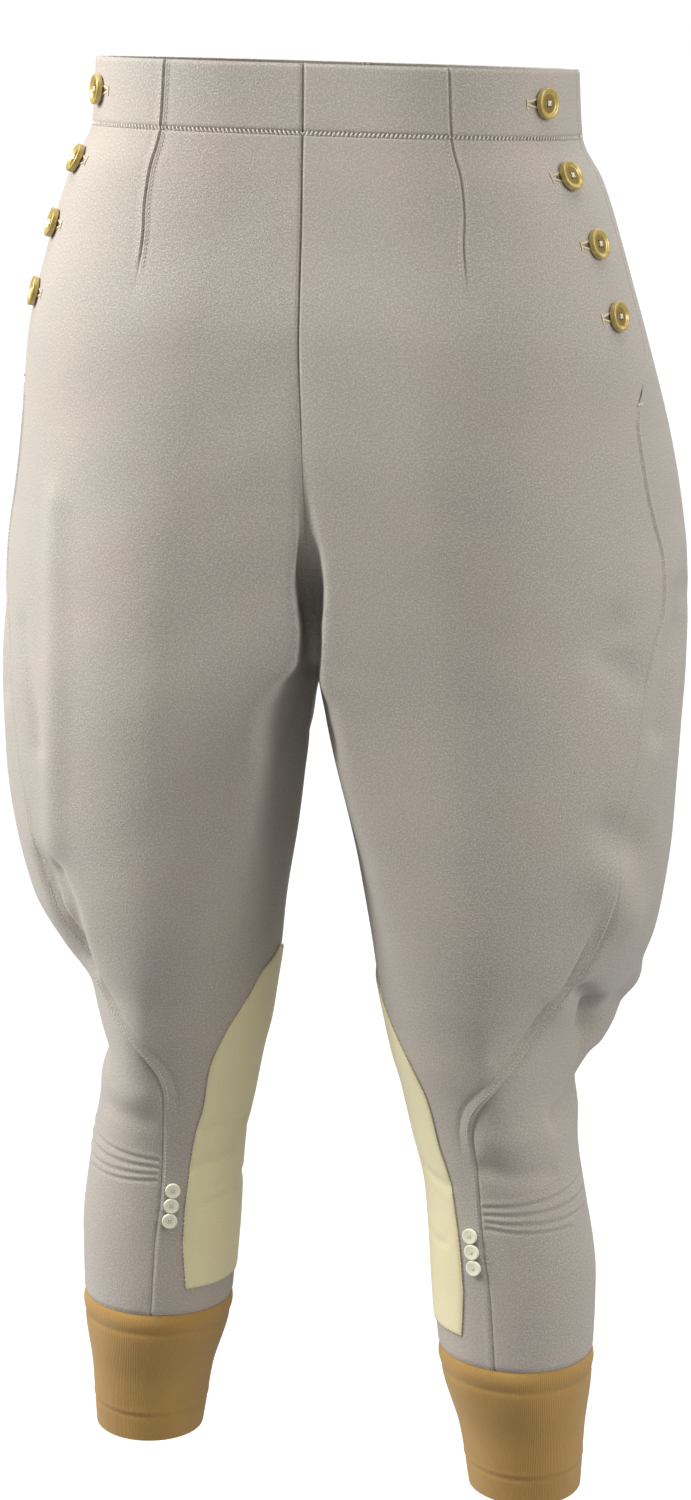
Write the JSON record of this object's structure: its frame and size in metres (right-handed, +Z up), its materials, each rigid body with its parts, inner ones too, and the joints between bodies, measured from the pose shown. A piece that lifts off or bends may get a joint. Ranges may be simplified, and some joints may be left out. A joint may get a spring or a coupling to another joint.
{
  "type": "riding breeches",
  "caption": "Flared wool riding breeches with side buttons, suede knee strappings and knit cuffs, hollow and shaped as worn.",
  "frame": {"origin": "centre of the waist hollow, at half the height of the waistband", "axes": "+Z up out of the waist, -Y to the front of the garment, +X to the wearer's left"},
  "size_m": [0.4402, 0.244, 0.9005],
  "materials": {
    "wool": "taupe wool, felted twill",
    "suede": "cream suede",
    "knit": "tan rib knit",
    "gilt": "mottled gold and olive",
    "pearl": "cream pearl"
  },
  "bodies": {
    "root": {"front_left": "wool", "back_left": "wool", "waistband_front_left": "wool", "waistband_side_left": "wool", "waistband_back_left": "wool", "button_stand_left": "wool", "strapping_left": "suede", "cuff_left": "knit", "side_button_left_1": "gilt", "side_button_left_2": "gilt", "side_button_left_3": "gilt", "side_button_left_4": "gilt", "knee_button_left_1": "pearl", "knee_button_left_2": "pearl", "knee_button_left_3": "pearl", "front_right": "wool", "back_right": "wool", "waistband_front_right": "wool", "waistband_side_right": "wool", "waistband_back_right": "wool", "button_stand_right": "wool", "strapping_right": "suede", "cuff_right": "knit", "side_button_right_1": "gilt", "side_button_right_2": "gilt", "side_button_right_3": "gilt", "side_button_right_4": "gilt", "knee_button_right_1": "pearl", "knee_button_right_2": "pearl", "knee_button_right_3": "pearl"}
  },
  "joints": []
}
